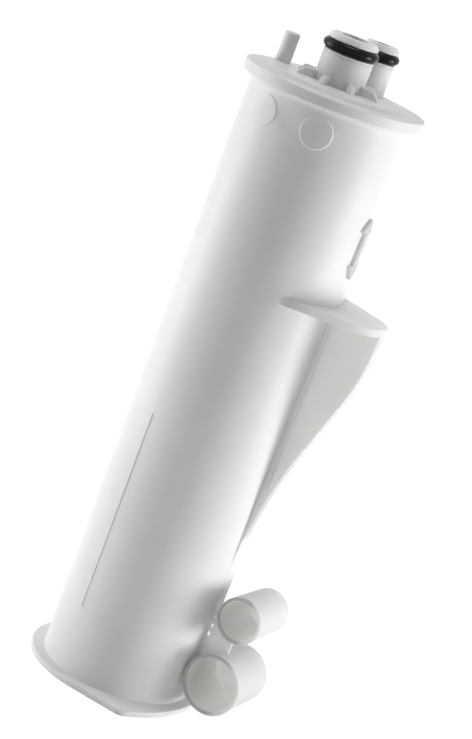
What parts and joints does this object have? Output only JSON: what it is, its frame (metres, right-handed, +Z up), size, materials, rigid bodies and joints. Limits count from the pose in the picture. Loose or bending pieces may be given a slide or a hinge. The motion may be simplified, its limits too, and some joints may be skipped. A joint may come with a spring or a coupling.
{
  "type": "descaling cartridge",
  "caption": "Tall round plastic descaling cartridge with a flat foot, a finger shelf on a fin, sealed spigots on its head and tear-off closing caps.",
  "frame": {"origin": "on the tube's axis, on the underside of the foot", "axes": "+Z up along the tube to the spigots, +X to the finger fin and the caps, -Y to the blank panel"},
  "size_m": [0.0869, 0.068, 0.2565],
  "materials": {
    "casing_plastic": "satin, slightly translucent natural white",
    "head_plastic": "satin, slightly translucent natural white",
    "seal_rubber": "smooth, greased",
    "inner_plastic": "satin",
    "filter_felt": "needled felt",
    "descaler_granules": "fine pale granules"
  },
  "bodies": {
    "root": {"casing": "casing_plastic", "head": "head_plastic", "large_spigot_seal": "seal_rubber", "small_spigot_seal": "seal_rubber", "riser_tube": "inner_plastic", "lower_strainer": "inner_plastic", "upper_strainer": "inner_plastic", "lower_filter_pad": "filter_felt", "upper_filter_pad": "filter_felt", "descaler_charge": "descaler_granules"}
  },
  "joints": []
}
